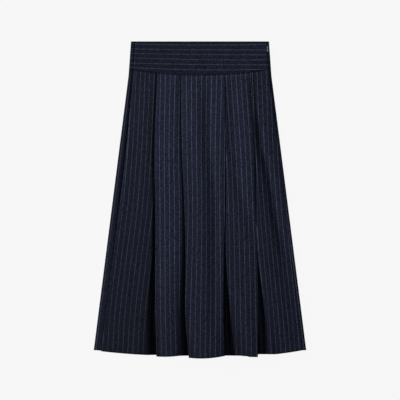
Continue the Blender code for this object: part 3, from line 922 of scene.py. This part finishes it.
def flannel():
    """Dark navy wool flannel with thin chalky pinstripes."""
    graph = Graph("navy_pinstripe_flannel")
    stripe, grain, painted_shading = graph.attribute("stripe"), graph.attribute("grain"), graph.attribute("painted_shading")
    place = graph.object_place()
    across = graph.math("MULTIPLY", stripe, PITCH)

    fuzz = graph.math("SUBTRACT", graph.noise(place, FUZZ_SCALE, 1.0), 0.5)
    fuzz = graph.math("MULTIPLY", fuzz, FUZZ_REACH)
    off = graph.math("MULTIPLY", graph.math("PINGPONG", stripe, 0.5), PITCH)
    off = graph.math("ADD", off, fuzz)
    line = graph.ramp(off, STRIPE_HALF - STRIPE_FUZZ, STRIPE_HALF + STRIPE_FUZZ, 1.0, 0.0)
    number = graph.math("MULTIPLY", graph.math("ROUND", stripe), BEAD_STEP)
    bead_place = graph.vector(number, graph.math("MULTIPLY", grain, BEAD_SCALE))
    beads = graph.noise(bead_place, 1.0, 3.0, 0.7)
    line = graph.math("MULTIPLY", line, graph.ramp(beads, BEAD_FAINT, BEAD_STRONG, BEAD_LEAST, 1.0))

    streak_x = graph.math("MULTIPLY", across, STREAK_ACROSS)
    streak_y = graph.math("MULTIPLY", grain, STREAK_ALONG)
    streaks = graph.noise(graph.vector(streak_x, streak_y), 1.0, 2.0, 0.6)
    fibres = graph.noise(place, FIBRE_SCALE, 2.0, 0.6)
    streaked = graph.math("MULTIPLY", streaks, STREAK_SHARE)
    heather = graph.math("ADD", streaked, graph.math("MULTIPLY", fibres, FIBRE_SHARE))
    ground = graph.mix(graph.ramp(heather, HEATHER_LOW, HEATHER_HIGH), CLOTH_DARK, CLOTH_LIGHT)
    # The colour is scaled by the painted light and shade that each piece carries
    graph.set(Base_Color=graph.scaled(graph.mix(line, ground, STRIPE_COLOUR), painted_shading))

    diagonal = graph.math("MULTIPLY", graph.math("ADD", across, grain), 2 * math.pi / TWILL_PITCH)
    twill = graph.math("MULTIPLY", graph.math("SINE", diagonal), TWILL_HEIGHT)
    graph.bump(graph.math("ADD", twill, fibres), TWILL_BUMP, TWILL_DEPTH)
    graph.set(
        Roughness=0.95,
        Specular_IOR_Level=0.08,
        Sheen_Weight=0.03,
        Sheen_Roughness=0.5,
        Sheen_Tint=(0.5, 0.56, 0.8, 1.0),
    )
    return graph.material


# Zip
METAL_DARK = (0.13, 0.135, 0.165, 1.0)
METAL_LIGHT = (0.26, 0.27, 0.31, 1.0)
WEAR_SCALE = 900.0
GRAIN_SCALE = 3000.0
TAPE_DARK = (0.006, 0.007, 0.014, 1.0)
TAPE_LIGHT = (0.016, 0.018, 0.03, 1.0)
TAPE_RIB_SCALE = 420.0


def zip_metal():
    """Dull blue-grey lacquered metal, rubbed a little brighter here and there."""
    graph = Graph("zip_metal")
    place = graph.object_place()
    wear = graph.noise(place, WEAR_SCALE, 3.0)
    colour = graph.mix(graph.ramp(wear, 0.35, 0.7), METAL_DARK, METAL_LIGHT)
    graph.set(Base_Color=colour, Roughness=graph.ramp(wear, 0.3, 0.7, 0.5, 0.32), Metallic=0.55)
    graph.bump(graph.noise(place, GRAIN_SCALE, 2.0), 0.15, 0.00005)
    return graph.material


def zip_weave():
    """Navy woven tape."""
    graph = Graph("zip_tape_weave")
    wave = graph.node("ShaderNodeTexWave", wave_type="BANDS", bands_direction="DIAGONAL")
    graph.put(wave.inputs["Vector"], graph.object_place())
    wave.inputs["Scale"].default_value = TAPE_RIB_SCALE
    wave.inputs["Distortion"].default_value = 1.0
    colour = graph.mix(wave.outputs["Fac"], TAPE_DARK, TAPE_LIGHT)
    graph.set(Base_Color=colour, Roughness=0.8)
    graph.bump(wave.outputs["Fac"], 0.5, 0.0002)
    return graph.material


def dress(grid, node, thickness, rim, grain_axis, finish):
    """One cloth piece that stands for a node of the frame, and hides that node."""
    piece = shell(f"cloth_{node}", grid, thickness, rim, grain_axis, finish)
    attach(piece, "skirt")
    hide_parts(node)


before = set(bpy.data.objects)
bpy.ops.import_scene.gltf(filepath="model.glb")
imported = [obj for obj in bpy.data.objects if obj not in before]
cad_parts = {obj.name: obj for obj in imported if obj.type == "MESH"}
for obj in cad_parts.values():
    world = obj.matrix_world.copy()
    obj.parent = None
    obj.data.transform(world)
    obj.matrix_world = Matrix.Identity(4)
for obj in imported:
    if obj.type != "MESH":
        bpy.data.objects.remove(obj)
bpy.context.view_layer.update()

# The cut of each piece in metres: its width at the top and at the bottom, and its length
Cut = namedtuple("Cut", "top bottom length")

FRONT_CUTS = (
    Cut(0.098, 0.162, 0.705),
    Cut(0.149, 0.136, 0.705),
    Cut(0.198, 0.147, 0.705),
    Cut(0.152, 0.142, 0.705),
    Cut(0.083, 0.144, 0.705),
)
BACK_CUTS = (
    Cut(0.120, 0.182, 0.700),
    Cut(0.147, 0.136, 0.700),
    Cut(0.190, 0.144, 0.700),
    Cut(0.147, 0.136, 0.700),
    Cut(0.109, 0.171, 0.700),
)

suiting = flannel()
fronts, backs = gore_grids(front_section), gore_grids(back_section)
for gore, front, back, front_cut, back_cut in zip(FRONT_GORES, fronts, backs, FRONT_CUTS, BACK_CUTS):
    dress(settle_front(front), f"front_gore_{gore.place}", WALL, RIM, 1, suiting)
    dress(settle_back(back), f"back_gore_{gore.place}", WALL, RIM, 1, suiting)
band_front = settle_band(band_grid(band_front_section), True)
band_back = settle_band(band_grid(band_back_section), False)
dress(band_front, "waistband_front", BAND_WALL, BAND_RIM, 0, suiting)
dress(band_back, "waistband_back", BAND_WALL, BAND_RIM, 0, suiting)

metal = zip_metal()
for node, slot, finish in (
    ("zip_slider", "zip_metal", metal),
    ("zip_pull", "zip_metal", metal),
    ("zip_tape", "zip_tape", zip_weave()),
):
    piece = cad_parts[node]
    piece.data.materials.clear()
    piece.data.materials.append(finish)

# Floor
PALE = 0.93
FLOOR_ALBEDO = 0.012
FLOOR_HALF = 8.0
FLOOR_Z = -0.0003


def lay_floor():
    """A pale floor that throws no light back onto the cloth."""
    mesh = bpy.data.meshes.new("floor")
    signs = ((-1, -1), (1, -1), (1, 1), (-1, 1))
    corners = [(x * FLOOR_HALF, y * FLOOR_HALF, FLOOR_Z) for x, y in signs]
    mesh.from_pydata(corners, [], [(0, 1, 2, 3)])
    floor = bpy.data.objects.new("floor", mesh)
    bpy.context.scene.collection.objects.link(floor)
    graph = Graph("floor")
    graph.set(
        Base_Color=(FLOOR_ALBEDO, FLOOR_ALBEDO, FLOOR_ALBEDO, 1.0),
        Roughness=1.0,
        Specular_IOR_Level=0.0,
        Emission_Color=(1.0, 1.0, 1.0, 1.0),
        Emission_Strength=PALE - FLOOR_ALBEDO,
    )
    mesh.materials.append(graph.material)
    floor.visible_diffuse = False
    floor.visible_glossy = False


def area_light(name, place, target, size, power):
    data = bpy.data.lights.new(name, "AREA")
    data.shape = "DISK"
    data.size = size
    data.energy = power
    light = bpy.data.objects.new(name, data)
    light.location = place
    direction = np.array(target) - np.array(place)
    pitch = math.atan2(math.hypot(direction[0], direction[1]), -direction[2])
    turn = math.atan2(-direction[0], direction[1])
    light.rotation_euler = (pitch, 0.0, turn)
    bpy.context.scene.collection.objects.link(light)


lay_floor()

# Lights: a low key on the left, and two weak fills
area_light("key_left", place=(-4.0, 1.4, 1.65), target=(0.0, 0.05, 0.0), size=1.3, power=350.0)
area_light("fill_right", place=(2.3, 0.8, 1.4), target=(0.0, 0.05, 0.0), size=1.1, power=9.0)
area_light("top_fill", place=(-0.15, 1.1, 1.2), target=(-0.03, 0.2, 0.0), size=0.7, power=3.6)

ROOM_STRENGTH = 0.11
world = bpy.data.worlds.new("soft_room")
bpy.context.scene.world = world
world.use_nodes = True
world.node_tree.nodes["Background"].inputs["Color"].default_value = (1.0, 1.0, 1.0, 1.0)
world.node_tree.nodes["Background"].inputs["Strength"].default_value = ROOM_STRENGTH

# A long lens straight above, with a metre across the picture
CAMERA_HEIGHT = 15.0
FIELD = 1.0
SENSOR = 36.0
LOOK_AT = (0.0, 0.00025, 0.006)
camera_data = bpy.data.cameras.new("camera")
camera_data.sensor_width = SENSOR
camera_data.lens = SENSOR * (CAMERA_HEIGHT - LOOK_AT[2]) / FIELD
camera_data.clip_end = 50.0
camera = bpy.data.objects.new("camera", camera_data)
camera.location = (LOOK_AT[0], LOOK_AT[1], CAMERA_HEIGHT)
bpy.context.scene.collection.objects.link(camera)
bpy.context.scene.camera = camera
bpy.context.scene.view_settings.view_transform = "Standard"
